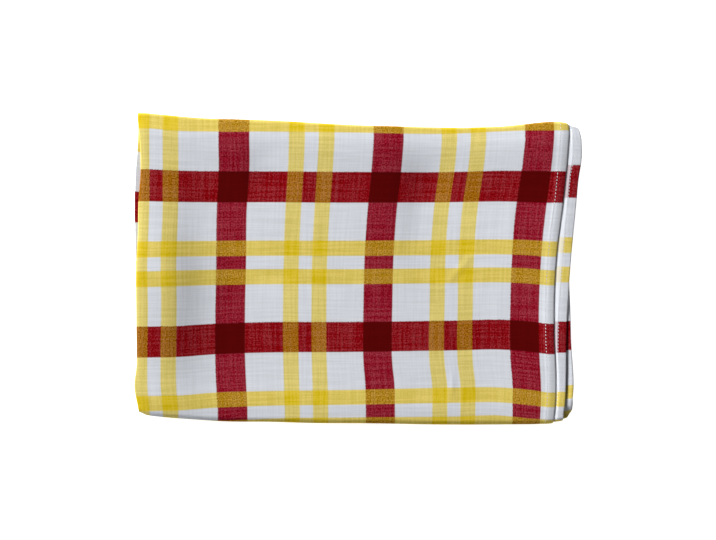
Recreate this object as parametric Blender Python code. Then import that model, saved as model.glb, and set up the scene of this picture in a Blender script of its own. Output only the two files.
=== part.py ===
"""A checked cotton tablecloth, hemmed on its two cut ends and folded flat into a stack of eight layers.

The cloth is one sheet, about 1.00 m by 1.40 m. It is folded in half across its width, so that both hems
lie at the right, and then in half twice along its length. Seen from the side, the pair of plies runs from
a free edge at the bottom of the stack, round the outer fold at the front, over the top, round the back
fold, under itself, and round the inner fold at the front to its other free edge.

X runs from the side fold on the left to the hems on the right, Y from the front to the back, Z up.
The origin is on the surface that the stack lies on, under the middle of the stack.
"""

import math

import bmesh
import bpy
import numpy as np

# The cloth, in metres
CLOTH = 0.0010  # how thick one layer lies, nap and all
HEM_WIDTH = 0.0105
HEM_EXTRA = 0.0003  # what the turned and sewn hem adds on the wrong side
HEM_STEP = 0.0016  # the slope from the plain cloth up to the hem

# The stack, in metres
PLY_PITCH = 0.0017  # from one ply's middle to the next one's
PAIR_PITCH = 2 * PLY_PITCH
LENGTH = 0.350  # front to back, before the outline bends it
BOTTOM_FREE_EDGE = 0.006  # how far the bottom panel's free edge stays in from the back
INNER_FREE_EDGE = 0.014  # the same for the inner panel

# How finely each stretch is divided
PLY_COLUMNS = 13
LAST_PLAIN_SHARE = 0.985  # one more column close before the hem
PANEL_ROWS = 12
SIDE_FOLD_STEPS = 6
OUTER_FOLD_STEPS = 10
TIGHT_FOLD_STEPS = 6

# The pair of plies turns at the side fold with this radius, measured to the middle of the cloth
SIDE_RADIUS = PLY_PITCH / 2

# Heights of the middle of each pair of plies, bottom panel first
PANEL_HEIGHTS = [CLOTH / 2 + PLY_PITCH / 2 + PAIR_PITCH * level for level in range(4)]
BOTTOM_Z, INNER_Z, UNDER_Z, TOP_Z = PANEL_HEIGHTS

# The folds along the length, radii measured to the middle of the pair
OUTER_FOLD_RADIUS = (TOP_Z - BOTTOM_Z) / 2
TIGHT_FOLD_RADIUS = PAIR_PITCH / 2
PAIR_HALF = PLY_PITCH / 2 + CLOTH / 2
FRONT_Y = OUTER_FOLD_RADIUS + PAIR_HALF  # the front folds turn about this line
BACK_Y = LENGTH - TIGHT_FOLD_RADIUS - PAIR_HALF  # the back fold turns about this one

# Where the side fold and the two hems run, in millimetres from the left, as the pair is followed from the
# bottom panel's free edge to the inner panel's. "up" is the share of the way from the front to the back.
EDGE_LINES = [
    # (panel, up, side fold, upper hem, lower hem)
    ("bottom", 1.00, 3.0, 492.0, 503.0),
    ("bottom", 0.50, 1.5, 484.0, 496.0),
    ("bottom", 0.00, 3.5, 485.0, 497.0),
    ("top", 0.00, 1.8, 486.0, 497.0),
    ("top", 0.05, -1.9, 487.5, 499.0),
    ("top", 0.14, 0.4, 488.0, 500.0),
    ("top", 0.28, 0.6, 486.0, 500.5),
    ("top", 0.47, 0.5, 486.9, 503.9),
    ("top", 0.58, 2.4, 489.7, 506.9),
    ("top", 0.72, 3.2, 495.9, 511.5),
    ("top", 0.81, 5.2, 499.1, 514.1),
    ("top", 0.93, 3.9, 502.4, 518.3),
    ("top", 1.00, 1.4, 503.0, 515.0),
    ("under", 1.00, 1.5, 502.0, 512.0),
    ("under", 0.92, 1.8, 500.0, 511.0),
    ("under", 0.80, -1.4, 495.0, 507.0),
    ("under", 0.67, -1.9, 490.0, 503.0),
    ("under", 0.50, -0.6, 486.0, 499.0),
    ("under", 0.28, 1.0, 485.0, 496.0),
    ("under", 0.00, 2.5, 486.0, 498.5),
    ("inner", 0.00, 3.5, 488.0, 504.5),
    ("inner", 0.06, 2.0, 489.5, 508.0),
    ("inner", 0.28, 1.2, 490.0, 505.8),
    ("inner", 0.50, 0.8, 487.0, 504.8),
    ("inner", 0.70, 1.5, 489.0, 503.0),
    ("inner", 1.00, 3.0, 494.0, 505.0),
]

# The front and back outlines of the stack, seen from above, in millimetres
FRONT_OUTLINE = [
    # (from the left, outline)
    (-4.0, 19.5),
    (2.0, 14.2),
    (8.0, 10.6),
    (16.0, 8.8),
    (30.0, 7.2),
    (58.0, 5.0),
    (100.0, 2.4),
    (156.0, 1.8),
    (200.0, 0.4),
    (295.0, -0.4),
    (340.0, -1.2),
    (440.0, -1.3),
    (468.0, -0.9),
    (486.0, 0.3),
    (500.0, 2.6),
    (514.0, 5.8),
]
BACK_OUTLINE = [
    # (from the left, outline)
    (-4.0, 362.2),
    (10.0, 362.0),
    (30.0, 360.1),
    (58.0, 357.6),
    (86.0, 355.9),
    (114.0, 355.2),
    (170.0, 352.7),
    (226.0, 349.3),
    (254.0, 348.0),
    (295.0, 347.2),
    (337.0, 345.7),
    (407.0, 345.5),
    (428.0, 346.4),
    (463.0, 350.2),
    (482.0, 352.0),
    (496.0, 351.2),
    (519.0, 344.6),
]

# How much higher than its mean the stack stands where folds and hems pile up, as shares of its height
FRONT_SWELL = 0.07
FRONT_REACH = 0.030  # how far from its middle a swell goes down to about a third
FRONT_FALL = 0.10  # the front fold is pressed a little flatter too
FRONT_FALL_FROM = 0.024
BACK_SWELL = 0.20
BACK_RIDGE_Y = 0.326
BACK_REACH = 0.031
BACK_FALL = 0.12  # the back fold is pressed flatter than the ridge beside it
BACK_FALL_TO = 0.352
SIDE_SWELL = 0.08  # from the side fold to its ridge, and then it falls
SIDE_RIDGE_X = 0.030
SIDE_REACH = 0.036
HEM_SWELL = 0.20
HEM_SWELL_FROM = 0.390
HEM_SWELL_TO = 0.500

# The soft troughs and ridges that all the layers share, in metres, y before the outline bends it. A height
# of 1 is the whole stack's height.
SOFT_CREASES = [
    # (x, y, reach to the left, reach to the right, reach in y, height)
    (0.030, 0.143, 0.300, 0.038, 0.096, 0.62),
    (0.030, 0.215, 0.300, 0.050, 0.060, 0.18),
    (0.052, 0.226, 0.026, 0.040, 0.034, -0.10),
    (0.330, 0.255, 0.022, 0.060, 0.080, -0.16),
    (0.372, 0.230, 0.045, 0.045, 0.090, -0.04),
    (0.340, 0.288, 0.026, 0.030, 0.026, -0.16),
    (0.148, 0.290, 0.020, 0.030, 0.026, -0.16),
    (0.500, 0.150, 0.034, 0.034, 0.120, 0.16),
    (0.170, 0.080, 0.080, 0.080, 0.050, -0.035),
]

MILLIMETRE = 0.001
CLOTH_COLOUR = (0.78, 0.66, 0.42, 1.0)  # the mean of the white, yellow and red checks


def curve_through(table, key_column, value_column):
    """A smooth function through two columns of a table, level past its ends."""
    keys = np.array([row[key_column] for row in table])
    values = np.array([row[value_column] for row in table])
    slopes = np.gradient(values, keys)

    def read(key):
        key = min(max(key, keys[0]), keys[-1])
        i = min(int(np.searchsorted(keys, key, side="right")) - 1, len(keys) - 2)
        span = keys[i + 1] - keys[i]
        t = (key - keys[i]) / span
        start = (2 * t**3 - 3 * t**2 + 1) * values[i] + (t**3 - 2 * t**2 + t) * span * slopes[i]
        end = (3 * t**2 - 2 * t**3) * values[i + 1] + (t**3 - t**2) * span * slopes[i + 1]
        return float(start + end)

    return read


def soft_step(value, low, high):
    """0 below low, 1 above high, and a smooth rise between."""
    t = min(max((value - low) / (high - low), 0.0), 1.0)
    return t * t * (3 - 2 * t)


def bell(distance, reach):
    """1 at no distance, fading to nothing past about twice the reach."""
    return math.exp(-((distance / reach) ** 2))


def panel_rows(name, height, start, end, turn):
    """Stations along one flat panel, closer together towards its ends: (panel, y, z, turn). The turn is
    where the pair's outer side looks, as an angle from straight up towards the front."""
    rows = []
    for step in range(PANEL_ROWS + 1):
        rows.append((name, start + (end - start) * even_to_close(step, PANEL_ROWS), height, turn))
    return rows


def fold_rows(name, centre_y, centre_z, radius, start_turn, end_turn, steps):
    """Stations round one fold, without its two ends, which the panels hold."""
    rows = []
    for step in range(1, steps):
        turn = start_turn + (end_turn - start_turn) * step / steps
        outward = 1 if end_turn < start_turn else -1
        y = centre_y - outward * radius * math.sin(turn)
        z = centre_z + outward * radius * math.cos(turn)
        rows.append((name, y, z, turn))
    return rows


def path_of_the_pair():
    """The pair's stations from the bottom panel's free edge to the inner panel's."""
    middle_z = (TOP_Z + BOTTOM_Z) / 2
    back_z = (TOP_Z + UNDER_Z) / 2
    rows = panel_rows("bottom", BOTTOM_Z, LENGTH - BOTTOM_FREE_EDGE, FRONT_Y, math.pi)
    rows += fold_rows("front", FRONT_Y, middle_z, OUTER_FOLD_RADIUS, math.pi, 0.0, OUTER_FOLD_STEPS)
    rows += panel_rows("top", TOP_Z, FRONT_Y, BACK_Y, 0.0)
    rows += fold_rows("back", BACK_Y, back_z, TIGHT_FOLD_RADIUS, 0.0, -math.pi, TIGHT_FOLD_STEPS)
    rows += panel_rows("under", UNDER_Z, BACK_Y, FRONT_Y, math.pi)
    rows += fold_rows("inside", FRONT_Y, middle_z, TIGHT_FOLD_RADIUS, math.pi, 2 * math.pi, TIGHT_FOLD_STEPS)
    rows += panel_rows("inner", INNER_Z, FRONT_Y, LENGTH - INNER_FREE_EDGE, 0.0)
    return rows


def lengths_along(rows):
    """How much of the pair lies before each station."""
    lengths = [0.0]
    for before, after in zip(rows, rows[1:]):
        lengths.append(lengths[-1] + math.hypot(after[1] - before[1], after[2] - before[2]))
    return lengths


def edge_readers(rows, lengths):
    """Smooth functions of the length along the pair for the side fold and the two hems."""
    keyed = []
    for panel, up, side_fold, upper_hem, lower_hem in EDGE_LINES:
        on_panel = [length for row, length in zip(rows, lengths) if row[0] == panel]
        share = 1 - up if panel in ("bottom", "under") else up
        length = on_panel[0] + share * (on_panel[-1] - on_panel[0])
        keyed.append((length, side_fold, upper_hem, lower_hem))
    return [curve_through(keyed, 0, column) for column in (1, 2, 3)]


def even_to_close(step, steps):
    """The share of the way at one of a row of steps that are closer together towards both ends."""
    return (step / steps + soft_step(step / steps, 0, 1)) / 2


def ply_stations():
    """Stations across one ply, as (share of the way from the side fold to the upper hem, distance in from
    the ply's own edge). One of the two is None: the hem keeps its width all along."""
    shares = [even_to_close(step, PLY_COLUMNS) for step in range(PLY_COLUMNS)] + [LAST_PLAIN_SHARE]
    insets = [HEM_WIDTH + HEM_STEP, HEM_WIDTH, HEM_WIDTH / 2, 0.0]
    return [(share, None) for share in shares] + [(None, inset) for inset in insets]


def columns_of_the_cloth():
    """Stations across the cloth, from the lower ply's hem round the side fold to the upper ply's:
    (ply, share of the way from the fold, distance in from the hem, turn round the side fold)."""
    lower = [("lower", share, inset, math.pi) for share, inset in reversed(ply_stations())]
    turns = [math.pi * (1 - step / SIDE_FOLD_STEPS) for step in range(1, SIDE_FOLD_STEPS)]
    fold = [("fold", 0.0, None, turn) for turn in turns]
    upper = [("upper", share, inset, 0.0) for share, inset in ply_stations()]
    return lower + fold + upper


def swell(x, y):
    """How much higher than its mean the stack stands, as a share of its height. y is the place before the
    outline bends it."""
    lift = FRONT_SWELL * bell(y - FRONT_Y, FRONT_REACH)
    lift += BACK_SWELL * bell(y - BACK_RIDGE_Y, BACK_REACH)
    lift -= BACK_FALL * soft_step(y, BACK_RIDGE_Y, BACK_FALL_TO)
    lift -= FRONT_FALL * soft_step(y, FRONT_FALL_FROM, 0.0)
    lift += SIDE_SWELL * bell(max(x - SIDE_RIDGE_X, 0.0), SIDE_REACH)
    lift += HEM_SWELL * soft_step(x, HEM_SWELL_FROM, HEM_SWELL_TO)
    for crease_x, crease_y, reach_left, reach_right, reach_y, height in SOFT_CREASES:
        reach_x = reach_right if x > crease_x else reach_left
        lift += height * bell(x - crease_x, reach_x) * bell(y - crease_y, reach_y)
    return 1 + lift


def place(column, row, side, edges, outlines):
    """The point of the folded stack for one station of the flat cloth. side is 1 on the right side of the
    cloth, which faces out of the pair, and -1 on the wrong side."""
    ply, share, inset, turn = column
    length, y, z, lean = row
    side_fold, upper_hem, lower_hem = (MILLIMETRE * read(length) for read in edges)
    hem = lower_hem if ply == "lower" else upper_hem
    fold_x = side_fold + SIDE_RADIUS + CLOTH / 2
    across = hem - inset if share is None else fold_x + share * (upper_hem - HEM_WIDTH - HEM_STEP - fold_x)

    front, back = (MILLIMETRE * read(across / MILLIMETRE) for read in outlines)
    lift = swell(across, y)

    offset = side * CLOTH / 2 / lift
    if side < 0 and inset is not None and inset <= HEM_WIDTH:
        offset -= HEM_EXTRA / lift
    radius = SIDE_RADIUS + offset
    x = across - radius * math.sin(turn) if ply == "fold" else across
    above = radius * math.cos(turn)

    y -= above * math.sin(lean)
    z += above * math.cos(lean)
    return x, front + (back - front) * y / LENGTH, CLOTH / 2 + (z - CLOTH / 2) * lift


def folded_cloth():
    """One closed mesh: a flat slab of two grids, each point carried to its place in the stack."""
    columns = columns_of_the_cloth()
    stations = path_of_the_pair()
    lengths = lengths_along(stations)
    edges = edge_readers(stations, lengths)
    outlines = [curve_through(table, 0, 1) for table in (FRONT_OUTLINE, BACK_OUTLINE)]
    rows = [(length, y, z, lean) for length, (_, y, z, lean) in zip(lengths, stations)]
    last_column, last_row = len(columns) - 1, len(rows) - 1

    slab = bmesh.new()
    bmesh.ops.create_grid(slab, x_segments=last_column, y_segments=last_row, size=0.5)
    grown = bmesh.ops.extrude_face_region(slab, geom=slab.faces[:])["geom"]
    lower_side = [item for item in grown if isinstance(item, bmesh.types.BMVert)]
    bmesh.ops.translate(slab, verts=lower_side, vec=(0, 0, -1))
    bmesh.ops.recalc_face_normals(slab, faces=slab.faces[:])
    for vertex in slab.verts:
        column = columns[round((vertex.co.x + 0.5) * last_column)]
        row = rows[round((vertex.co.y + 0.5) * last_row)]
        vertex.co = place(column, row, 1 if vertex.co.z > -0.5 else -1, edges, outlines)

    mesh = bpy.data.meshes.new("tablecloth")
    slab.to_mesh(mesh)
    slab.free()
    return mesh


def put_middle_over_origin(mesh):
    """Moves the mesh so that the middle of its box is over the origin and it lies on z = 0."""
    points = np.array([vertex.co for vertex in mesh.vertices])
    low, high = points.min(axis=0), points.max(axis=0)
    middle = (low + high) / 2
    for vertex in mesh.vertices:
        vertex.co = (vertex.co.x - middle[0], vertex.co.y - middle[1], vertex.co.z - low[2])


def cotton(name, colour):
    """A plain matt cotton."""
    material = bpy.data.materials.new(name)
    material.use_nodes = True
    shader = material.node_tree.nodes["Principled BSDF"]
    shader.inputs["Base Color"].default_value = colour
    shader.inputs["Roughness"].default_value = 0.85
    shader.inputs["Metallic"].default_value = 0.0
    return material


for old in list(bpy.data.objects):
    bpy.data.objects.remove(old)

cloth_mesh = folded_cloth()
put_middle_over_origin(cloth_mesh)
cloth_mesh.shade_smooth()
cloth_mesh.set_sharp_from_angle(angle=math.radians(50))
cloth_mesh.materials.append(cotton("checked cotton", CLOTH_COLOUR))
tablecloth = bpy.data.objects.new("tablecloth", cloth_mesh)
bpy.context.scene.collection.objects.link(tablecloth)
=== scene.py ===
import math

import bmesh
import bpy
import numpy as np
from mathutils import Matrix, Quaternion, Vector


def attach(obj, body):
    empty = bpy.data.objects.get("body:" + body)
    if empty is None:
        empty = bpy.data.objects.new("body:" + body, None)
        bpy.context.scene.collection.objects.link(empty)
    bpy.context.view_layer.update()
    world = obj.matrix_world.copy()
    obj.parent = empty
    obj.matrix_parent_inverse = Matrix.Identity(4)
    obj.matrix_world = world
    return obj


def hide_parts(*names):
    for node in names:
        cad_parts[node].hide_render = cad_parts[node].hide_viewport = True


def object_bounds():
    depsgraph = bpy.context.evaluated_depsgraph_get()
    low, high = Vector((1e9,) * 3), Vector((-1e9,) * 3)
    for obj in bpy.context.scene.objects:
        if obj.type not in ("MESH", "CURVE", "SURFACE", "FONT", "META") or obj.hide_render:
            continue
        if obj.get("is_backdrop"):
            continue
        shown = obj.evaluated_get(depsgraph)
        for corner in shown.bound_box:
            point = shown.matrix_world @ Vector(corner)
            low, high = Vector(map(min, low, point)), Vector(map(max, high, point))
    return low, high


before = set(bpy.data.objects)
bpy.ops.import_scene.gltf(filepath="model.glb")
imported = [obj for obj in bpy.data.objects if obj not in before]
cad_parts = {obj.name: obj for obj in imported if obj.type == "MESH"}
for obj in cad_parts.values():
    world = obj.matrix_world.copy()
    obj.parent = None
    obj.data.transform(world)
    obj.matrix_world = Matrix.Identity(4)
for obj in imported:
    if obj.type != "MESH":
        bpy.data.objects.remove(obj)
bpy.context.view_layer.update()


# Camera
# The photograph looks straight down on the folded cloth from about two metres. The cloth takes up
# a little under two thirds of the frame's width and lies in its middle.

PIXEL = 0.001163  # one pixel of the 716 by 540 photograph, on top of the cloth
FRAME_WIDTH = 716 * PIXEL
FILM_WIDTH = 36  # in millimetres
CAMERA_HEIGHT = 2.0
TOP_OF_CLOTH = 0.014
CAMERA_OVER = (0.0000, -0.0012)  # the picture's middle, from the middle of the cloth

camera_data = bpy.data.cameras.new("camera")
camera_data.sensor_width = FILM_WIDTH
camera_data.lens = FILM_WIDTH * (CAMERA_HEIGHT - TOP_OF_CLOTH) / FRAME_WIDTH
camera = bpy.data.objects.new("camera", camera_data)
camera.location = (*CAMERA_OVER, CAMERA_HEIGHT)
bpy.context.scene.collection.objects.link(camera)
bpy.context.scene.camera = camera
bpy.context.scene.view_settings.view_transform = "Standard"


# Floor
# A white light table, lit a little from inside, so that the ground burns out around the cloth and its
# shadow hardly shows. It is a plain disc that lies level under everything.

FLOOR_RADIUS = 6.0
FLOOR_GAP = 0.0004  # under the cloth, so that the two faces don't lie in one plane
FLOOR_COLOUR = "F4F4F4"
FLOOR_GLOW = 0.86


def linear(hex_colour):
    """The linear colour of an sRGB hex value."""
    channels = [int(hex_colour[i : i + 2], 16) / 255 for i in (0, 2, 4)]
    return tuple(c / 12.92 if c <= 0.04045 else ((c + 0.055) / 1.055) ** 2.4 for c in channels) + (1.0,)


def add_node(tree, kind, inputs=None, **settings):
    """Adds a node with its settings, and gives each named or numbered input a value or a link."""
    node = tree.nodes.new(kind)
    for name, value in settings.items():
        setattr(node, name, value)
    for socket, value in (inputs or {}).items():
        if isinstance(value, bpy.types.NodeSocket):
            tree.links.new(value, node.inputs[socket])
        else:
            node.inputs[socket].default_value = value
    return node


white_ground = bpy.data.materials.new("matt white studio ground")
white_ground.use_nodes = True
ground_shader = white_ground.node_tree.nodes["Principled BSDF"]
ground_shader.inputs["Base Color"].default_value = linear(FLOOR_COLOUR)
ground_shader.inputs["Roughness"].default_value = 0.9
ground_shader.inputs["Specular IOR Level"].default_value = 0.1
ground_shader.inputs["Emission Color"].default_value = linear("FFFFFF")
ground_shader.inputs["Emission Strength"].default_value = FLOOR_GLOW

ground = bmesh.new()
bmesh.ops.create_circle(ground, cap_ends=True, segments=96, radius=FLOOR_RADIUS)
floor_mesh = bpy.data.meshes.new("floor")
ground.to_mesh(floor_mesh)
ground.free()
floor_mesh.materials.append(white_ground)
floor = bpy.data.objects.new("floor", floor_mesh)
floor.location.z = -FLOOR_GAP
bpy.context.scene.collection.objects.link(floor)
floor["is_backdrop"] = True


# Light
# Weak daylight from all round, and a broad window-like light that comes in low over the cloth's back left
# corner. It stands far off, so that it is even, and it draws the troughs and the steps between layers.

DAYLIGHT = 0.20
WINDOW_WATTS = 2190
WINDOW_SIZE = 5.0
WINDOW_DISTANCE = 9.0
WINDOW_HEIGHT_ANGLE = math.radians(21)
WINDOW_SIDE_ANGLE = math.radians(32)  # from straight left, towards the back
window_reach = WINDOW_DISTANCE * math.cos(WINDOW_HEIGHT_ANGLE)
WINDOW_PLACE = (
    -window_reach * math.cos(WINDOW_SIDE_ANGLE),
    window_reach * math.sin(WINDOW_SIDE_ANGLE),
    WINDOW_DISTANCE * math.sin(WINDOW_HEIGHT_ANGLE),
)

world = bpy.data.worlds.new("studio")
world.use_nodes = True
world.node_tree.nodes["Background"].inputs["Color"].default_value = linear("FFFFFF")
world.node_tree.nodes["Background"].inputs["Strength"].default_value = DAYLIGHT
bpy.context.scene.world = world

window_data = bpy.data.lights.new("window", "AREA")
window_data.energy = WINDOW_WATTS
window_data.size = WINDOW_SIZE
window = bpy.data.objects.new("window", window_data)
window.location = WINDOW_PLACE
window_turn = math.atan2(WINDOW_PLACE[0], -WINDOW_PLACE[1])
window_lean = math.atan2(math.hypot(WINDOW_PLACE[0], WINDOW_PLACE[1]), WINDOW_PLACE[2])
window.rotation_euler = (-window_lean, 0, window_turn + math.pi)
bpy.context.scene.collection.objects.link(window)


# The cloth
# One sheet of plain-weave cotton, hemmed on its two cut ends. It is folded in half across, with both hems
# to the right, and then in half twice along its length. The pair of plies runs from a free edge under the
# stack, round the front, over the top, round the back, under itself and round the front again.

MILLIMETRE = 0.001
CLOTH = 0.0009  # one layer with its nap
HEM_WIDTH = 0.0105
HEM_STEP = 0.0014  # the slope beside the hem
HEM_EXTRA = 0.0003  # what the turned cloth adds on the wrong side
HEM_PUFF = 0.00022  # how far the hem stands up on the right side, between its edge and its stitches
HEM_PUFF_REACH = 0.003
HEM_ROUNDING = 0.0013  # how far in from its edge the hem gets thinner
HEM_DROOP = 0.00040  # the top layer's hem hangs down on the next layer
HEM_DROOP_REACH = 0.008
SECOND_PLY_CURL = 0.0011  # where the second layer shows beside that hem, it stands up a little
SECOND_PLY_CURL_REACH = 0.0036
LOWEST_PLY_CURL = 0.0070  # and so does the layer that shows beyond both, near the front
LOWEST_PLY_CURL_FROM = 0.0020
LOWEST_PLY_CURL_REACH = 0.0155
LOWEST_SHOWS = (0.34, 0.50)  # the share of the way to the back where it goes out of sight
CURL_FADE = 0.010  # strips rise and droop on their panels, not round the folds
FOLD_CURL = 0.0013  # the second pair's side fold stands up where it shows beside the top pair's
FOLD_CURL_REACH = 0.0050
FOLD_SHOWS_FROM = 0.175  # from the front
FOLD_SHOWS_TO = 0.310
FOLD_SHOWS_FADE = 0.030
STITCH_LINE = 0.0096  # in from the edge
STITCH_GROOVE = 0.00016
STITCH_GROOVE_REACH = 0.0006
EDGE_ROUNDING = 0.0008  # how far in from its cut edges the cloth gets thinner
THINNEST = 0.02  # of the cloth's thickness squared, at the very edge

# Each ply sways a little up and down between its neighbours, but not at the side fold and the hems
SWAY = 0.0002
SWAY_FADE = 0.015
SWAYS = {
    # ply: (wave along the pair, wave across it, start)
    "upper": (0.021, 0.034, 0.0),
    "lower": (0.027, -0.019, 2.0),
    "fold": (0.027, -0.019, 2.0),
}

# The folded stack's own measures, which the solid has too, before it swells and its outline bends
SOLID_CLOTH = 0.0010
PLY_PITCH = 0.0017  # from one ply's middle to the next one's
PAIR_PITCH = 2 * PLY_PITCH
LENGTH = 0.350
BOTTOM_FREE_EDGE = 0.006  # in from the back
INNER_FREE_EDGE = 0.014
SIDE_RADIUS = PLY_PITCH / 2
PAIR_HEIGHTS = [SOLID_CLOTH / 2 + PLY_PITCH / 2 + PAIR_PITCH * level for level in range(4)]
BOTTOM_Z, INNER_Z, UNDER_Z, TOP_Z = PAIR_HEIGHTS
OUTER_FOLD_RADIUS = (TOP_Z - BOTTOM_Z) / 2
TIGHT_FOLD_RADIUS = PAIR_PITCH / 2
FRONT_Y = OUTER_FOLD_RADIUS + PLY_PITCH / 2 + SOLID_CLOTH / 2
BACK_Y = LENGTH - TIGHT_FOLD_RADIUS - PLY_PITCH / 2 - SOLID_CLOTH / 2
MIDDLE_Z = (TOP_Z + BOTTOM_Z) / 2
BACK_FOLD_Z = (TOP_Z + UNDER_Z) / 2

# The pair's way through the stack. A fold has a radius, and its turn is where its outer side looks, as an
# angle from straight up towards the front, at its start and at its end.
RUNS = [
    # (name, start y, height of the panel or of the fold's middle, radius, start turn, end turn, end y)
    ("bottom", LENGTH - BOTTOM_FREE_EDGE, BOTTOM_Z, 0, math.pi, math.pi, FRONT_Y),
    ("front", FRONT_Y, MIDDLE_Z, OUTER_FOLD_RADIUS, math.pi, 0, FRONT_Y),
    ("top", FRONT_Y, TOP_Z, 0, 0, 0, BACK_Y),
    ("back", BACK_Y, BACK_FOLD_Z, TIGHT_FOLD_RADIUS, 0, -math.pi, BACK_Y),
    ("under", BACK_Y, UNDER_Z, 0, math.pi, math.pi, FRONT_Y),
    ("inside", FRONT_Y, MIDDLE_Z, TIGHT_FOLD_RADIUS, math.pi, 2 * math.pi, FRONT_Y),
    ("inner", FRONT_Y, INNER_Z, 0, 0, 0, LENGTH - INNER_FREE_EDGE),
]
RUN_LENGTHS = [abs(run[6] - run[1]) + run[3] * math.pi for run in RUNS]
RUN_STARTS = [sum(RUN_LENGTHS[:i]) for i in range(len(RUNS))]
RUN_START = {run[0]: start for run, start in zip(RUNS, RUN_STARTS)}
CLOTH_LENGTH = sum(RUN_LENGTHS)

# Where the side fold and the two hems run, in millimetres from the left. "up" is the share of the way from
# the front to the back.
EDGE_LINES = [
    # (panel, up, side fold, upper hem, lower hem)
    ("bottom", 1.00, 3.0, 492.0, 503.0),
    ("bottom", 0.50, 1.5, 484.0, 496.0),
    ("bottom", 0.00, 3.5, 485.0, 497.0),
    ("top", 0.00, 1.8, 486.0, 497.0),
    ("top", 0.05, -1.9, 487.5, 499.0),
    ("top", 0.14, 0.4, 488.0, 500.0),
    ("top", 0.28, 0.6, 486.0, 500.5),
    ("top", 0.47, 0.5, 486.9, 503.9),
    ("top", 0.58, 2.4, 489.7, 506.9),
    ("top", 0.72, 3.2, 495.9, 511.5),
    ("top", 0.81, 5.2, 499.1, 514.1),
    ("top", 0.93, 3.9, 502.4, 518.3),
    ("top", 1.00, 1.4, 503.0, 515.0),
    ("under", 1.00, 1.5, 502.0, 512.0),
    ("under", 0.92, 1.8, 500.0, 511.0),
    ("under", 0.80, -1.4, 495.0, 507.0),
    ("under", 0.67, -1.9, 490.0, 503.0),
    ("under", 0.50, -0.6, 486.0, 499.0),
    ("under", 0.28, 1.0, 485.0, 496.0),
    ("under", 0.00, 2.5, 486.0, 498.5),
    ("inner", 0.00, 3.5, 488.0, 504.5),
    ("inner", 0.06, 2.0, 489.5, 508.0),
    ("inner", 0.28, 1.2, 490.0, 505.8),
    ("inner", 0.50, 0.8, 487.0, 504.8),
    ("inner", 0.70, 1.5, 489.0, 503.0),
    ("inner", 1.00, 3.0, 494.0, 505.0),
]

# The front and back outlines of the stack, seen from above, in millimetres
FRONT_OUTLINE = [
    # (from the left, outline)
    (-4.0, 19.5),
    (2.0, 14.2),
    (8.0, 10.6),
    (16.0, 8.8),
    (30.0, 7.2),
    (58.0, 5.0),
    (100.0, 2.4),
    (156.0, 1.8),
    (200.0, 0.4),
    (295.0, -0.4),
    (340.0, -1.2),
    (440.0, -1.3),
    (468.0, -0.9),
    (486.0, 0.3),
    (500.0, 2.6),
    (514.0, 5.8),
]
BACK_OUTLINE = [
    # (from the left, outline)
    (-4.0, 362.2),
    (10.0, 362.0),
    (30.0, 360.1),
    (58.0, 357.6),
    (86.0, 355.9),
    (114.0, 355.2),
    (170.0, 352.7),
    (226.0, 349.3),
    (254.0, 348.0),
    (295.0, 347.2),
    (337.0, 345.7),
    (407.0, 345.5),
    (428.0, 346.4),
    (463.0, 350.2),
    (482.0, 352.0),
    (496.0, 351.2),
    (519.0, 344.6),
]

# How much higher than its mean the stack stands where folds and hems pile up, as shares of its height
FRONT_SWELL = 0.07
FRONT_REACH = 0.030  # how far from its middle a swell goes down to about a third
FRONT_FALL = 0.10  # the front fold is pressed a little flatter too
FRONT_FALL_FROM = 0.024
BACK_SWELL = 0.20
BACK_RIDGE_Y = 0.326
BACK_REACH = 0.031
BACK_FALL = 0.12  # the back fold is pressed flatter than the ridge beside it
BACK_FALL_TO = 0.352
SIDE_SWELL = 0.08  # from the side fold to its ridge, and then it falls
SIDE_RIDGE_X = 0.030
SIDE_REACH = 0.036
HEM_SWELL = 0.20
HEM_SWELL_FROM = 0.390
HEM_SWELL_TO = 0.500

# The soft troughs and ridges that all the layers share, in metres, y before the outline bends it. A height
# of 1 is the whole stack's height.
SOFT_CREASES = [
    # (x, y, reach to the left, reach to the right, reach in y, height)
    (0.030, 0.143, 0.300, 0.038, 0.096, 0.62),
    (0.030, 0.215, 0.300, 0.050, 0.060, 0.18),
    (0.052, 0.226, 0.026, 0.040, 0.034, -0.10),
    (0.330, 0.255, 0.022, 0.060, 0.080, -0.16),
    (0.372, 0.230, 0.045, 0.045, 0.090, -0.04),
    (0.340, 0.288, 0.026, 0.030, 0.026, -0.16),
    (0.148, 0.290, 0.020, 0.030, 0.026, -0.16),
    (0.500, 0.150, 0.034, 0.034, 0.120, 0.16),
    (0.170, 0.080, 0.080, 0.080, 0.050, -0.035),
]

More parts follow.
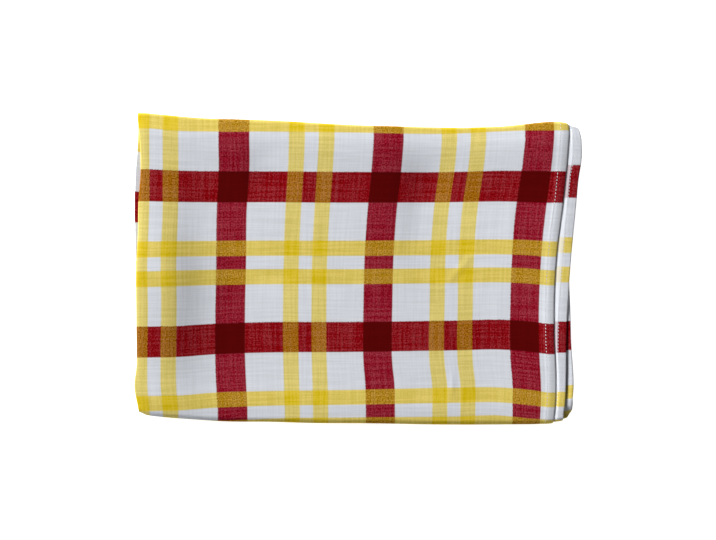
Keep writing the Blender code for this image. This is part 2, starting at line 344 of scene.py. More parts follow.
# Where the stripes lie on the top layer, in millimetres from the left and from the front. The cloth is a
# little skewed and stretched, so they wander.
WARP_STRIPES_ON_TOP = [
    # (y, yellow, red, pair, red, pair, red)
    (16.3, 40.0, 112.7, 198.2, 284.3, 369.7, 454.7),
    (45.4, 37.7, 111.0, 197.6, 283.7, 369.7, 454.7),
    (68.6, 37.7, 109.8, 197.0, 281.4, 366.8, 452.9),
    (144.2, 38.9, 109.8, 196.5, 281.4, 366.8, 452.3),
    (188.4, 38.3, 111.0, 197.0, 282.5, 367.4, 454.1),
    (243.1, 40.0, 111.0, 199.4, 286.0, 370.9, 458.1),
    (307.0, 40.0, 114.5, 203.4, 292.4, 379.6, 467.4),
    (330.3, 40.0, 113.9, 204.6, 294.1, 381.4, 469.8),
]
WEFT_STRIPES_ON_TOP = [
    # (x, end of the front yellow, yellow, red, pair, red, start of the back yellow)
    (16.3, -0.3, 23.8, 95.3, 185.5, 277.4, 343.6),
    (51.2, 0.6, 24.4, 95.9, 186.6, 276.2, 340.6),
    (86.1, 3.0, 27.3, 98.3, 187.2, 275.6, 340.0),
    (144.2, 6.2, 29.1, 100.6, 187.8, 275.6, 340.0),
    (248.9, 7.5, 30.8, 101.2, 187.8, 275.0, 339.0),
    (374.5, 8.7, 33.7, 102.9, 189.0, 275.6, 337.8),
    (423.3, 9.9, 33.7, 104.1, 189.6, 276.2, 340.2),
    (458.2, 6.4, 30.8, 101.7, 188.4, 275.6, 341.3),
    (479.2, 5.2, 27.9, 98.8, 186.6, 275.0, 341.3),
]

# Finer creases and dimples of the top layer alone, in millimetres. A positive height is a ridge.
TOP_CREASES = [
    # (x, y, turn from X in degrees, reach along, reach across, height)
    (376.0, 179.0, 45.0, 20.0, 3.4, 0.50),
    (379.5, 193.0, 80.0, 5.0, 2.4, -0.25),
    (368.0, 45.0, 86.0, 15.0, 2.8, 0.40),
    (331.0, 250.0, 78.0, 30.0, 8.0, -0.20),
    (92.0, 172.0, 95.0, 40.0, 9.0, 0.30),
    (120.0, 92.0, 105.0, 26.0, 7.0, 0.25),
    (160.0, 305.0, 20.0, 26.0, 5.0, 0.25),
    (236.0, 312.0, -8.0, 30.0, 5.0, 0.20),
    (214.0, 240.0, 70.0, 24.0, 6.0, 0.18),
    (300.0, 205.0, 75.0, 14.0, 4.0, 0.30),
    (420.0, 130.0, 88.0, 32.0, 6.0, 0.22),
    (436.0, 250.0, 84.0, 26.0, 5.0, 0.22),
    (258.0, 64.0, 12.0, 30.0, 6.0, 0.18),
    (60.0, 34.0, -12.0, 26.0, 5.0, 0.30),
]

CREASE_FADE = 0.020  # creases fade out this near the folds
CREASE_FADE_AT_SIDE = 0.010
CREASE_FADE_AT_HEM = 0.015

# The woven check, in metres. Warp stripes are counted from the upper ply's hem, weft stripes along the pair
# from the bottom panel's free edge.
RED_WARP_STRIPE = 0.0340
RED_WEFT_STRIPE = 0.0352
YELLOW_STRIPE = 0.0176
YELLOW_GAP = 0.0154
WARP_REPEAT = 0.172
WEFT_REPEAT = 0.174
FIRST_WARP_RED = 0.035
FIRST_WEFT_RED = 0.1025
PLAIN_MARGIN_FROM = 0.930
YELLOW_OFF_CENTRE = (YELLOW_GAP + YELLOW_STRIPE) / 2  # a yellow stripe's middle from its pair's middle
LOWER_PLY_LAG = 0.022  # how much the weft stripes of the second layer creep forward, for each length
SIDE_FOLD_AT = 0.4925  # across the cloth, from the upper ply's hem
UNDER_FOLD_AT = 0.4945  # the same in the second pair
MEASURE_FADE = 0.055  # past the folds, the top's own stripes give way to the even check

# How the cloth's own measure along the pair is shifted on each panel, in millimetres
WEFT_SHIFTS = [
    # (panel, shift)
    ("bottom", 0.0),
    ("top", 0.0),
    ("under", -6.6),
    ("inner", 5.1),
]
SHIFTED_SHARE = (0.15, 0.85)  # of each panel, and between panels the shift changes evenly

# The columns and rows of the mesh: closer where creases are fine, and at the hems, given in from their edges
UPPER_STRETCHES = [(0.00, 0.71, 46), (0.71, 0.86, 32), (0.86, 1.00, 16)]  # (from, to, columns), shares
LOWER_COLUMNS = 44
SIDE_FOLD_STEPS = 8
HEM_STATIONS = (0.0165, 0.014, 0.0119, 0.0112, 0.0106, 0.0101, 0.0096, 0.0091, 0.0084, 0.0064, 0.0043, 0.0022)
HEM_EDGE_STATIONS = (0.0015, 0.0009, 0.0004, 0.00012, 0.0)
TOP_ROWS = 108
PANEL_ROWS = 32
OUTER_FOLD_STEPS = 16
TIGHT_FOLD_STEPS = 8


def curve_through(table, key_column, value_column):
    """A smooth function through two columns of a table, level past its ends."""
    keys = np.array([row[key_column] for row in table])
    values = np.array([row[value_column] for row in table])
    slopes = np.gradient(values, keys)

    def read(key):
        key = min(max(key, keys[0]), keys[-1])
        i = min(int(np.searchsorted(keys, key, side="right")) - 1, len(keys) - 2)
        span = keys[i + 1] - keys[i]
        t = (key - keys[i]) / span
        start = (2 * t**3 - 3 * t**2 + 1) * values[i] + (t**3 - 2 * t**2 + t) * span * slopes[i]
        end = (3 * t**2 - 2 * t**3) * values[i + 1] + (t**3 - t**2) * span * slopes[i + 1]
        return float(start + end)

    return read


def soft_step(value, low, high):
    """0 below low, 1 above high, and a smooth rise between."""
    t = min(max((value - low) / (high - low), 0.0), 1.0)
    return t * t * (3 - 2 * t)


def bell(distance, reach):
    """1 at no distance, fading to nothing past about twice the reach."""
    return math.exp(-((distance / reach) ** 2))


def along_the_pair(s):
    """Where the middle of the pair is after a length s of cloth: (y, z, turn)."""
    i = max(k for k in range(len(RUNS)) if RUN_STARTS[k] <= s or k == 0)
    _, start_y, height, radius, start_turn, end_turn, end_y = RUNS[i]
    gone = s - RUN_STARTS[i]
    if radius == 0:
        return start_y + math.copysign(gone, end_y - start_y), height, start_turn
    outward = 1 if end_turn < start_turn else -1
    turn = start_turn - outward * gone / radius
    return start_y - outward * radius * math.sin(turn), height + outward * radius * math.cos(turn), turn


def length_at(panel, up):
    """How much cloth lies before a place on a panel, up being its share of the way to the back."""
    name, start_y, _, _, _, _, end_y = next(run for run in RUNS if run[0] == panel)
    share = 1 - up if end_y < start_y else up
    return RUN_START[panel] + share * abs(end_y - start_y)


edge_keys = [(length_at(panel, up), fold, upper, lower) for panel, up, fold, upper, lower in EDGE_LINES]
side_fold_line, upper_hem_line, lower_hem_line = (curve_through(edge_keys, 0, column) for column in (1, 2, 3))
front_line = curve_through(FRONT_OUTLINE, 0, 1)
back_line = curve_through(BACK_OUTLINE, 0, 1)
warp_lines = [curve_through(WARP_STRIPES_ON_TOP, 0, column) for column in range(1, 7)]
weft_lines = [curve_through(WEFT_STRIPES_ON_TOP, 0, column) for column in range(1, 7)]
shift_keys = []
for panel, shift in WEFT_SHIFTS:
    shift_keys += [(length_at(panel, SHIFTED_SHARE[0]), shift), (length_at(panel, SHIFTED_SHARE[1]), shift)]
weft_shift = curve_through(sorted(shift_keys), 0, 1)


def swell(x, y):
    """How much higher than its mean the stack stands, as a share of its height. y is the place before the
    outline bends it."""
    lift = FRONT_SWELL * bell(y - FRONT_Y, FRONT_REACH)
    lift += BACK_SWELL * bell(y - BACK_RIDGE_Y, BACK_REACH)
    lift -= BACK_FALL * soft_step(y, BACK_RIDGE_Y, BACK_FALL_TO)
    lift -= FRONT_FALL * soft_step(y, FRONT_FALL_FROM, 0.0)
    lift += SIDE_SWELL * bell(max(x - SIDE_RIDGE_X, 0.0), SIDE_REACH)
    lift += HEM_SWELL * soft_step(x, HEM_SWELL_FROM, HEM_SWELL_TO)
    for crease_x, crease_y, reach_left, reach_right, reach_y, height in SOFT_CREASES:
        reach_x = reach_right if x > crease_x else reach_left
        lift += height * bell(x - crease_x, reach_x) * bell(y - crease_y, reach_y)
    return 1 + lift


def outline(x):
    """Where the stack's front and back lie at a distance from the left."""
    return MILLIMETRE * front_line(x / MILLIMETRE), MILLIMETRE * back_line(x / MILLIMETRE)


def sway(ply, s, x, fold_x, past_hem):
    """How far a ply wanders up or down between its neighbours, away from the side fold and the hems."""
    wave_along, wave_across, start = SWAYS[ply]
    free = soft_step(s, RUN_START["front"], RUN_START["top"]) * (1 - bell(x - fold_x, SWAY_FADE))
    free *= soft_step(past_hem, -HEM_DROOP_REACH, -HEM_DROOP_REACH - SWAY_FADE)
    return SWAY * free * math.sin(s / wave_along + x / wave_across + start)


def top_relief(x, y, s):
    """How far the fine creases lift the top layer."""
    on_top = soft_step(s, RUN_START["top"], RUN_START["top"] + CREASE_FADE)
    on_top *= soft_step(s, RUN_START["back"], RUN_START["back"] - CREASE_FADE)
    rise = 0.0
    for crease_x, crease_y, degrees, reach_along, reach_across, height in TOP_CREASES:
        off_x, off_y = x / MILLIMETRE - crease_x, y / MILLIMETRE - crease_y
        cosine, sine = math.cos(math.radians(degrees)), math.sin(math.radians(degrees))
        along, across = off_x * cosine + off_y * sine, off_y * cosine - off_x * sine
        rise += MILLIMETRE * height * bell(along, reach_along) * bell(across, reach_across)
    return on_top * rise


def edge_thinning(inset, rounding):
    """What an edge's rounding leaves of the cloth's thickness at a distance in from that edge."""
    return math.sqrt(max(1 - (1 - min(inset / rounding, 1.0)) ** 2, THINNEST))


def half_thickness(inset, right_side):
    """From the middle of the cloth to its surface, near a hem. inset is the way in from the hem's edge."""
    half = CLOTH / 2
    if inset is None:
        return half
    turned = soft_step(inset, HEM_WIDTH + HEM_STEP, HEM_WIDTH)
    half += turned * (HEM_PUFF * soft_step(inset, 0, HEM_PUFF_REACH) if right_side else HEM_EXTRA)
    half -= STITCH_GROOVE * bell(inset - STITCH_LINE, STITCH_GROOVE_REACH)
    return half * edge_thinning(inset, HEM_ROUNDING)


def fold_rise(x, y, s):
    """How far the second pair's side fold stands up. It is measured out of the pair, so down."""
    below = soft_step(s, RUN_START["under"], RUN_START["under"] + FOLD_SHOWS_FADE)
    below *= soft_step(s, RUN_START["inside"], RUN_START["inside"] - FOLD_SHOWS_FADE)
    below *= soft_step(y, FOLD_SHOWS_FROM - FOLD_SHOWS_FADE, FOLD_SHOWS_FROM)
    below *= soft_step(y, FOLD_SHOWS_TO + FOLD_SHOWS_FADE, FOLD_SHOWS_TO)
    return -below * FOLD_CURL * soft_step(x - MILLIMETRE * side_fold_line(s), FOLD_CURL_REACH, 0.0)


def free_edge_rise(ply, past_hem, s):
    """How far the plies' free strips at the right rise from their places, or droop."""
    on_top = soft_step(s, RUN_START["top"] - CURL_FADE, RUN_START["top"])
    on_top *= soft_step(s, RUN_START["back"] + CURL_FADE / 2, RUN_START["back"] - CURL_FADE / 2)
    if ply == "upper":
        return -on_top * HEM_DROOP * soft_step(past_hem, -HEM_DROOP_REACH, 0.0)
    rise = on_top * SECOND_PLY_CURL * soft_step(past_hem, 0.0, SECOND_PLY_CURL_REACH)
    inner = soft_step(s, RUN_START["inner"], RUN_START["inner"] + CURL_FADE)
    inner *= soft_step(s, length_at("inner", LOWEST_SHOWS[1]), length_at("inner", LOWEST_SHOWS[0]))
    return rise + inner * LOWEST_PLY_CURL * soft_step(past_hem, LOWEST_PLY_CURL_FROM, LOWEST_PLY_CURL_REACH)


def place_on_stack(ply, share, inset, turn, s, height):
    """A point of the folded stack. ply is upper, lower or fold; share is how far it is from the side fold
    to the upper hem, and inset how far in from its own hem; turn is the turn round the side fold; s is
    how far along the pair it is, and height how far out from the middle of the cloth."""
    y, z, lean = along_the_pair(s)
    side_fold = MILLIMETRE * side_fold_line(s)
    hem = MILLIMETRE * (lower_hem_line(s) if ply == "lower" else upper_hem_line(s))
    fold_x = side_fold + SIDE_RADIUS + SOLID_CLOTH / 2
    last_plain = hem - HEM_STATIONS[0]
    x = hem - inset if share is None else fold_x + share * (last_plain - fold_x)
    front, back = outline(x)
    lift = swell(x, y)
    radius = SIDE_RADIUS + height / lift
    if ply == "fold":
        x -= radius * math.sin(turn)
    past_hem = x - MILLIMETRE * upper_hem_line(s)
    above = radius * math.cos(turn) + sway(ply, s, x, fold_x, past_hem)
    above += free_edge_rise(ply, past_hem, s) + fold_rise(x, y, s)
    if ply == "upper":
        rise = top_relief(x, front + (back - front) * y / LENGTH, s)
        rise *= 1 - bell(x - fold_x, CREASE_FADE_AT_SIDE)
        above += rise * soft_step(hem - x, 0.0, CREASE_FADE_AT_HEM)
    y -= above * math.sin(lean)
    z += above * math.cos(lean)
    return x, front + (back - front) * y / LENGTH, max(CLOTH / 2 + (z - SOLID_CLOTH / 2) * lift, 0.0)


def weft_on_top(x, y):
    """How much of the cloth's length lies before a place on the top, by its weft stripes there."""
    red = FIRST_WEFT_RED + 3 * WEFT_REPEAT  # the back one of the two on the top
    pair = red - 1.5 * WEFT_REPEAT
    next_pair = red + WEFT_REPEAT / 2
    half_yellow = YELLOW_STRIPE / 2
    lengths = [
        pair - YELLOW_OFF_CENTRE + half_yellow,
        pair + YELLOW_OFF_CENTRE,
        red - WEFT_REPEAT,
        red - WEFT_REPEAT / 2,
        red,
        next_pair - YELLOW_OFF_CENTRE - half_yellow,
    ]
    places = [MILLIMETRE * line(x / MILLIMETRE) for line in weft_lines]
    beyond = min(y - places[0], 0.0) + max(y - places[-1], 0.0)
    return float(np.interp(y, places, lengths)) + beyond


def warp_on_top(x, y, hem, fold_x, fold_at):
    """How far across the cloth a place on the top is, by its warp stripes there."""
    knots = [(fold_x, fold_at)]
    for stripe, line in enumerate(warp_lines):
        off = -YELLOW_OFF_CENTRE if stripe == 0 else 0.0
        across = FIRST_WARP_RED + (5 - stripe) * WARP_REPEAT / 2 + off
        knots.append((MILLIMETRE * line(y / MILLIMETRE), across))
    knots.append((hem, 0.0))
    return float(np.interp(x, [knot[0] for knot in knots], [knot[1] for knot in knots]))


def place_in_weave(ply, turn, s, x):
    """How far a point is across the cloth and along it, when the cloth is spread out flat."""
    on_top = soft_step(s, RUN_START["top"] - MEASURE_FADE, RUN_START["top"])
    on_top *= soft_step(s, RUN_START["under"] + MEASURE_FADE, RUN_START["back"])
    on_under = soft_step(s, RUN_START["back"], RUN_START["under"])
    on_under *= soft_step(s, RUN_START["inner"], RUN_START["inside"])
    nearest_s = min(max(s, RUN_START["top"]), RUN_START["back"])
    y, _, _ = along_the_pair(nearest_s)
    front, back = outline(x)
    y = front + (back - front) * y / LENGTH

    fold_x = MILLIMETRE * side_fold_line(s) + SIDE_RADIUS + SOLID_CLOTH / 2
    fold_at = SIDE_FOLD_AT + on_under * (UNDER_FOLD_AT - SIDE_FOLD_AT)
    first_yellow = FIRST_WARP_RED + 2.5 * WARP_REPEAT - YELLOW_OFF_CENTRE
    top_fold_at = first_yellow + MILLIMETRE * warp_lines[0](y / MILLIMETRE) - fold_x
    fold_at += on_top * (top_fold_at - fold_at)

    along = s + MILLIMETRE * weft_shift(s)
    top_along = weft_on_top(x, y) + s - nearest_s
    if ply == "lower":
        top_along -= LOWER_PLY_LAG * y
    along += on_top * (top_along - along)

    if ply == "fold":
        return fold_at + SIDE_RADIUS * turn, along
    if ply == "lower":
        return fold_at + SIDE_RADIUS * math.pi + x - fold_x, along
    hem = MILLIMETRE * upper_hem_line(s)
    across = fold_at * (hem - x) / (hem - fold_x)
    across += on_top * (warp_on_top(x, y, hem, fold_x, fold_at) - across)
    return across, along


plain_share = []
for start, end, columns in UPPER_STRETCHES:
    plain_share += [start + (end - start) * step / columns for step in range(columns)]
lower_share = [step / LOWER_COLUMNS for step in range(LOWER_COLUMNS)]
hem_insets = [*HEM_STATIONS, *HEM_EDGE_STATIONS]
cloth_columns = [("lower", None, inset, math.pi) for inset in reversed(hem_insets)]
cloth_columns += [("lower", share, None, math.pi) for share in reversed(lower_share)]
for step in range(1, SIDE_FOLD_STEPS):
    cloth_columns.append(("fold", 0.0, None, math.pi * (1 - step / SIDE_FOLD_STEPS)))
cloth_columns += [("upper", share, None, 0.0) for share in plain_share]
cloth_columns += [("upper", None, inset, 0.0) for inset in hem_insets]

cloth_rows = []
for (name, *_), start, length in zip(RUNS, RUN_STARTS, RUN_LENGTHS):
    steps = {"front": OUTER_FOLD_STEPS, "back": TIGHT_FOLD_STEPS, "inside": TIGHT_FOLD_STEPS, "top": TOP_ROWS}
    count = steps.get(name, PANEL_ROWS)
    for step in range(count):
        share = step / count
        if name not in ("front", "back", "inside"):  # a panel's rows lie closer towards its folds
            share = (share + soft_step(share, 0, 1)) / 2
        cloth_rows.append(start + length * share)
cloth_rows.append(CLOTH_LENGTH)
cloth_rows[1:1] = [EDGE_ROUNDING / 3, EDGE_ROUNDING]
cloth_rows[-1:-1] = [CLOTH_LENGTH - EDGE_ROUNDING, CLOTH_LENGTH - EDGE_ROUNDING / 3]

last_column, last_row = len(cloth_columns) - 1, len(cloth_rows) - 1

# A flat grid gets its wrong side, and then each corner goes to the place of its column and row
sheet = bmesh.new()
bmesh.ops.create_grid(sheet, x_segments=last_column, y_segments=last_row, size=0.5)
grown = bmesh.ops.extrude_face_region(sheet, geom=sheet.faces[:])["geom"]
wrong_side = [item for item in grown if isinstance(item, bmesh.types.BMVert)]
bmesh.ops.translate(sheet, verts=wrong_side, vec=(0, 0, -1))
bmesh.ops.recalc_face_normals(sheet, faces=sheet.faces[:])
flat_map = sheet.loops.layers.uv.new("flat")
on_wrong_side = sheet.verts.layers.float.new("wrong side")
flat_places = {}
for vertex in sheet.verts:
    ply, share, inset, turn = cloth_columns[round((vertex.co.x + 0.5) * last_column)]
    s = cloth_rows[round((vertex.co.y + 0.5) * last_row)]
    right_side = vertex.co.z > -0.5
    half = half_thickness(inset, right_side)
    half *= edge_thinning(min(s, CLOTH_LENGTH - s), EDGE_ROUNDING)
    x, y, z = place_on_stack(ply, share, inset, turn, s, half if right_side else -half)
    flat_places[vertex] = place_in_weave(ply, turn, s, x)
    in_the_turned_hem = inset is not None and inset < HEM_WIDTH
    vertex[on_wrong_side] = 0.0 if right_side or in_the_turned_hem else 1.0
    vertex.co = (x, y, z)
for face in sheet.faces:
    for loop in face.loops:
        loop[flat_map].uv = flat_places[loop.vert]

cloth_mesh = bpy.data.meshes.new("cloth")
sheet.to_mesh(cloth_mesh)
sheet.free()
points = np.array([vertex.co for vertex in cloth_mesh.vertices])
middle = (points.min(axis=0) + points.max(axis=0)) / 2
for vertex in cloth_mesh.vertices:
    vertex.co = (vertex.co.x - middle[0], vertex.co.y - middle[1], vertex.co.z)
cloth_mesh.shade_smooth()

# The weave of the cloth. Coloured yarn runs both ways, so a colour is full where it crosses itself and
# paler where it crosses white. The wrong side is much paler than the right side.
WEAVE = {
    # (warp, weft): sRGB
    ("white", "white"): "C6C9CF",
    ("white", "red"): "80131B",
    ("white", "yellow"): "CCB75B",
    ("red", "white"): "841C2B",
    ("red", "red"): "500202",
    ("red", "yellow"): "A37A23",
    ("yellow", "white"): "CCBB6B",
    ("yellow", "red"): "95601D",
    ("yellow", "yellow"): "CAAF28",
}
WRONG_SIDE_SHOWS = 0.40  # how much of the check comes through
THREAD = 0.0012  # real threads are 0.5 mm apart, too fine to show, so they are drawn at more than twice that
SPECK = 0.0016  # where a coloured thread dips under a white one, drawn as coarse as the threads
SLUB_LENGTH = 0.060  # a thick place in a yarn
EDGE_SOFTNESS = 0.0014  # the stripes' edges are a thread or two wide
EDGE_WAVER = 0.00018
THREAD_HEIGHT = 0.00005
BUMP_STRENGTH = 0.7
SLUBS_STAND = 0.5  # how high slubs stand, as a share of a thread's height
SPECKLE_IN_RED = 0.34  # how much lighter and darker the cloth gets from thread to thread
SPECKLE_ELSEWHERE = 0.02
WARP_SLUB_TONE = 0.030
WEFT_SLUB_TONE = 0.045
NOISE_SPAN = (0.3, 0.7)  # the noise's usual range, which is drawn out to run from -1 to 1
PALE_IN_RED = 0.009  # how much white shows between the coloured threads
PALE_IN_YELLOW = 0.013

cotton = bpy.data.materials.new("yarn-dyed plain-weave cotton")
cotton.use_nodes = True
tree = cotton.node_tree
cotton_shader = tree.nodes["Principled BSDF"]
flat_uv = add_node(tree, "ShaderNodeUVMap", uv_map="flat")
flat_parts = add_node(tree, "ShaderNodeSeparateXYZ", {0: flat_uv.outputs["UV"]})

# Three noises in the cloth's own measure: specks, and slubs in the warp and in the weft
grains = {}
for grain, wide, high in (
    ("speck", SPECK, SPECK),
    ("warp slub", THREAD * 2, SLUB_LENGTH),
    ("weft slub", SLUB_LENGTH, THREAD * 2),
):
    grain_place = add_node(
        tree,
        "ShaderNodeVectorMath",
        {0: flat_uv.outputs["UV"], 1: (1 / wide, 1 / high, 1.0)},
        operation="MULTIPLY",
    )
    noise = add_node(
        tree,
        "ShaderNodeTexNoise",
        {"Vector": grain_place.outputs[0], "Scale": 1.0, "Detail": 1.0},
        noise_dimensions="2D",
    )
    drawn_out = add_node(
        tree, "ShaderNodeMapRange", {0: noise.outputs[0], 1: NOISE_SPAN[0], 2: NOISE_SPAN[1], 3: -1.0, 4: 1.0}
    )
    grains[grain] = drawn_out.outputs[0]

stripes = {}
for yarn, place, first_red, repeat, red_stripe in (
    ("warp", flat_parts.outputs["X"], FIRST_WARP_RED, WARP_REPEAT, RED_WARP_STRIPE),
    ("weft", flat_parts.outputs["Y"], FIRST_WEFT_RED, WEFT_REPEAT, RED_WEFT_STRIPE),
):
    wavering = add_node(
        tree, "ShaderNodeMath", {0: grains["speck"], 1: EDGE_WAVER, 2: place}, operation="MULTIPLY_ADD"
    )
    shifted = add_node(tree, "ShaderNodeMath", {0: wavering.outputs[0], 1: first_red}, operation="SUBTRACT")
    wrapped = add_node(
        tree, "ShaderNodeMath", {0: shifted.outputs[0], 1: repeat / 2, 2: -repeat / 2}, operation="WRAP"
    )
    from_red = add_node(tree, "ShaderNodeMath", {0: wrapped.outputs[0]}, operation="ABSOLUTE")
    from_pair = add_node(
        tree, "ShaderNodeMath", {0: repeat / 2, 1: from_red.outputs[0]}, operation="SUBTRACT"
    )
    from_yellow = add_node(
        tree, "ShaderNodeMath", {0: from_pair.outputs[0], 1: YELLOW_OFF_CENTRE}, operation="SUBTRACT"
    )
    off_yellow = add_node(tree, "ShaderNodeMath", {0: from_yellow.outputs[0]}, operation="ABSOLUTE")
    for colour, distance, width in (("red", from_red, red_stripe), ("yellow", off_yellow, YELLOW_STRIPE)):
        inside = add_node(
            tree,
            "ShaderNodeMapRange",
            {0: distance.outputs[0], 1: (width + EDGE_SOFTNESS) / 2, 2: (width - EDGE_SOFTNESS) / 2},
            interpolation_type="SMOOTHSTEP",
        )
        stripes[yarn, colour] = inside.outputs[0]

# The margin beside the second hem is plain, as beside the first
in_check = add_node(
    tree, "ShaderNodeMath", {0: flat_parts.outputs["X"], 1: PLAIN_MARGIN_FROM}, operation="LESS_THAN"
)
for colour in ("red", "yellow"):
    kept = add_node(
        tree, "ShaderNodeMath", {0: stripes["warp", colour], 1: in_check.outputs[0]}, operation="MULTIPLY"
    )
    stripes["warp", colour] = kept.outputs[0]

by_warp = {}
for warp in ("white", "red", "yellow"):
    with_yellow = add_node(
        tree,
        "ShaderNodeMix",
        {0: stripes["weft", "yellow"], 6: linear(WEAVE[warp, "white"]), 7: linear(WEAVE[warp, "yellow"])},
        data_type="RGBA",
    )
    with_red = add_node(
        tree,
        "ShaderNodeMix",
        {0: stripes["weft", "red"], 6: with_yellow.outputs[2], 7: linear(WEAVE[warp, "red"])},
        data_type="RGBA",
    )
    by_warp[warp] = with_red.outputs[2]
white_or_yellow = add_node(
    tree,
    "ShaderNodeMix",
    {0: stripes["warp", "yellow"], 6: by_warp["white"], 7: by_warp["yellow"]},
    data_type="RGBA",
)
check = add_node(
    tree,
    "ShaderNodeMix",
    {0: stripes["warp", "red"], 6: white_or_yellow.outputs[2], 7: by_warp["red"]},
    data_type="RGBA",
)

# Where red crosses another colour the cloth is speckled, and elsewhere nearly even
one_red = add_node(
    tree, "ShaderNodeMath", {0: stripes["warp", "red"], 1: stripes["weft", "red"]}, operation="SUBTRACT"
)
crossing = add_node(tree, "ShaderNodeMath", {0: one_red.outputs[0]}, operation="ABSOLUTE")
speckle = add_node(
    tree,
    "ShaderNodeMath",
    {0: crossing.outputs[0], 1: SPECKLE_IN_RED, 2: SPECKLE_ELSEWHERE},
    operation="MULTIPLY_ADD",
)
speckled = add_node(
    tree, "ShaderNodeMath", {0: grains["speck"], 1: speckle.outputs[0], 2: 1.0}, operation="MULTIPLY_ADD"
)
with_warp = add_node(
    tree,
    "ShaderNodeMath",
    {0: grains["warp slub"], 1: WARP_SLUB_TONE, 2: speckled.outputs[0]},
    operation="MULTIPLY_ADD",
)
with_weft = add_node(
    tree,
    "ShaderNodeMath",
    {0: grains["weft slub"], 1: WEFT_SLUB_TONE, 2: with_warp.outputs[0]},
    operation="MULTIPLY_ADD",
)

# Pale threads show a little among the coloured ones
any_yellow = add_node(
    tree, "ShaderNodeMath", {0: stripes["warp", "yellow"], 1: stripes["weft", "yellow"]}, operation="MAXIMUM"
)
yellow_alone = add_node(
    tree,
    "ShaderNodeMath",
    {0: any_yellow.outputs[0], 1: crossing.outputs[0]},
    operation="SUBTRACT",
    use_clamp=True,
)
yellow_pale = add_node(
    tree, "ShaderNodeMath", {0: yellow_alone.outputs[0], 1: PALE_IN_YELLOW}, operation="MULTIPLY"
)
pale_here = add_node(
    tree,
    "ShaderNodeMath",
    {0: crossing.outputs[0], 1: PALE_IN_RED, 2: yellow_pale.outputs[0]},
    operation="MULTIPLY_ADD",
)
slubs = add_node(tree, "ShaderNodeMath", {0: grains["warp slub"], 1: grains["weft slub"]}, operation="ADD")
threads_seen = add_node(tree, "ShaderNodeMath", {0: slubs.outputs[0], 1: grains["speck"]}, operation="ADD")
pale_threads = add_node(
    tree, "ShaderNodeMath", {0: threads_seen.outputs[0], 1: pale_here.outputs[0]}, operation="MULTIPLY"
)
yarns = add_node(
    tree,
    "ShaderNodeVectorMath",
    {0: check.outputs[2], 1: with_weft.outputs[0], 2: pale_threads.outputs[0]},
    operation="MULTIPLY_ADD",
)

wrong_side_here = add_node(tree, "ShaderNodeAttribute", attribute_name="wrong side")
hidden_share = add_node(
    tree, "ShaderNodeMath", {0: wrong_side_here.outputs["Fac"], 1: 1 - WRONG_SIDE_SHOWS}, operation="MULTIPLY"
)
both_sides = add_node(
    tree,
    "ShaderNodeMix",
    {0: hidden_share.outputs[0], 6: yarns.outputs[0], 7: linear(WEAVE["white", "white"])},
    data_type="RGBA",
)
tree.links.new(both_sides.outputs[2], cotton_shader.inputs["Base Color"])

# Threads go over and under each other, and slubs stand up a little more
wave_per_metre = math.pi / THREAD
ups = []
for socket in ("X", "Y"):
    phase = add_node(
        tree, "ShaderNodeMath", {0: flat_parts.outputs[socket], 1: wave_per_metre}, operation="MULTIPLY"
    )
    ups.append(add_node(tree, "ShaderNodeMath", {0: phase.outputs[0]}, operation="SINE").outputs[0])
over_under = add_node(tree, "ShaderNodeMath", {0: ups[0], 1: ups[1]}, operation="MULTIPLY")
surface = add_node(
    tree,
    "ShaderNodeMath",
    {0: slubs.outputs[0], 1: SLUBS_STAND, 2: over_under.outputs[0]},
    operation="MULTIPLY_ADD",
)
bump = add_node(
    tree,
    "ShaderNodeBump",
    {"Height": surface.outputs[0], "Distance": THREAD_HEIGHT, "Strength": BUMP_STRENGTH},
)
tree.links.new(bump.outputs[0], cotton_shader.inputs["Normal"])
cotton_shader.inputs["Roughness"].default_value = 0.9
cotton_shader.inputs["Specular IOR Level"].default_value = 0.03

cloth_mesh.materials.append(cotton)
cloth = bpy.data.objects.new("cloth", cloth_mesh)
bpy.context.scene.collection.objects.link(cloth)
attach(cloth, "root")
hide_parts("tablecloth")


# Hem stitches
# A row of white cotton lockstitch holds each of the two hems down, and shows on both faces of the cloth.
# The needle pulls every stitch a little aslant and into a shallow groove.

STITCH_PITCH = 0.0038
STITCH_LENGTH = 0.0024
STITCH_WIDTH = 0.0010
STITCH_HEIGHT = 0.0006
STITCH_SLANT = math.radians(12)
STITCH_PROBE = 0.0008  # how far off a stitch's middle the cloth's lie is felt
TIGHTEST = 0.6  # inside a fold closer than this share of the cloth's length, a stitch has no room to show

one_stitch = bmesh.new()
bmesh.ops.create_uvsphere(one_stitch, u_segments=6, v_segments=4, radius=0.5)
stitch_mesh = bpy.data.meshes.new("one stitch")
one_stitch.to_mesh(stitch_mesh)
one_stitch.free()


def point_on_hem(ply, side, inset, s):
    """A point on the cloth's face beside a hem. side is 1 on the right side and -1 on the wrong side."""
    turn = math.pi if ply == "lower" else 0.0
    point = place_on_stack(ply, None, inset, turn, s, side * half_thickness(inset, side > 0))
    return Vector((point[0] - middle[0], point[1] - middle[1], point[2]))


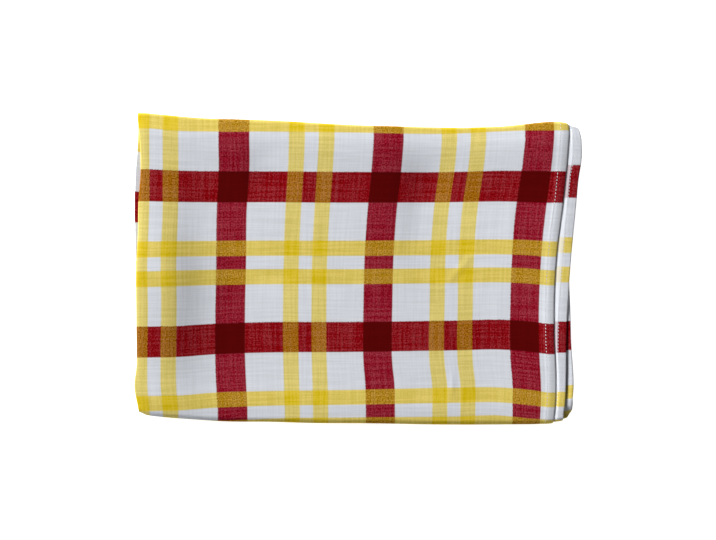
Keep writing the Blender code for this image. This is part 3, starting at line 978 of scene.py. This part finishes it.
sewing = bmesh.new()
stitches_in_a_row = int(CLOTH_LENGTH / STITCH_PITCH)
for ply in ("upper", "lower"):
    for side in (1, -1):
        for number in range(stitches_in_a_row):
            s = (number + 0.5) * STITCH_PITCH
            behind = point_on_hem(ply, side, STITCH_LINE, s - STITCH_PROBE)
            ahead = point_on_hem(ply, side, STITCH_LINE, s + STITCH_PROBE)
            if (ahead - behind).length < TIGHTEST * 2 * STITCH_PROBE:
                continue
            along = (ahead - behind).normalized()
            inwards = point_on_hem(ply, side, STITCH_LINE + STITCH_PROBE, s)
            outwards = point_on_hem(ply, side, STITCH_LINE - STITCH_PROBE, s)
            up = along.cross(inwards - outwards).normalized()
            along = Quaternion(up, STITCH_SLANT) @ along
            across = up.cross(along)
            centre = (ahead + behind) / 2
            centre.z = max(centre.z, STITCH_HEIGHT / 2)
            sides = (across * STITCH_WIDTH, along * STITCH_LENGTH, up * STITCH_HEIGHT)
            lie = Matrix(sides).transposed().to_4x4()
            lie.translation = centre
            stitch = stitch_mesh.copy()
            stitch.transform(lie)
            sewing.from_mesh(stitch)
            bpy.data.meshes.remove(stitch)
bmesh.ops.recalc_face_normals(sewing, faces=sewing.faces[:])
sewing_mesh = bpy.data.meshes.new("hem stitches")
sewing.to_mesh(sewing_mesh)
sewing.free()
bpy.data.meshes.remove(stitch_mesh)
sewing_mesh.shade_smooth()

# Mercerised sewing cotton: white, with a faint sheen. Its twist is too fine to show, so the shade that
# the twist casts on the thread is painted into its colour, as darker bands as long as a stitch.
THREAD_WHITE = "D2D3D6"
# the painted shade of the thread's twist, in bands along the stitches
THREAD_PAINTED_SHADE = "C0C2C6"
PAINTED_SHADE_LENGTH = 0.00377
WAVE_RADIANS = 20  # the wave texture's own, for each unit at a scale of 1

thread = bpy.data.materials.new("white sewing cotton")
thread.use_nodes = True
thread_tree = thread.node_tree
thread_shader = thread_tree.nodes["Principled BSDF"]
thread_place = add_node(thread_tree, "ShaderNodeTexCoord")
wave_scale = math.tau / (WAVE_RADIANS * PAINTED_SHADE_LENGTH)
# Painted shade: the wave darkens the thread in bands, where its twist would shade it
twist_painted_shade = add_node(
    thread_tree,
    "ShaderNodeTexWave",
    {"Vector": thread_place.outputs["Object"], "Scale": wave_scale, "Distortion": 0.5},
    bands_direction="Y",
)
thread_with_painted_shade = add_node(
    thread_tree,
    "ShaderNodeMix",
    {0: twist_painted_shade.outputs["Fac"], 6: linear(THREAD_PAINTED_SHADE), 7: linear(THREAD_WHITE)},
    data_type="RGBA",
)
thread_tree.links.new(thread_with_painted_shade.outputs[2], thread_shader.inputs["Base Color"])
thread_shader.inputs["Roughness"].default_value = 0.6
thread_shader.inputs["Specular IOR Level"].default_value = 0.2

sewing_mesh.materials.append(thread)
hem_stitches = bpy.data.objects.new("hem_stitches", sewing_mesh)
bpy.context.scene.collection.objects.link(hem_stitches)
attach(hem_stitches, "root")


# Size
# The dressed model's box, in metres, without the floor.

low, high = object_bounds()
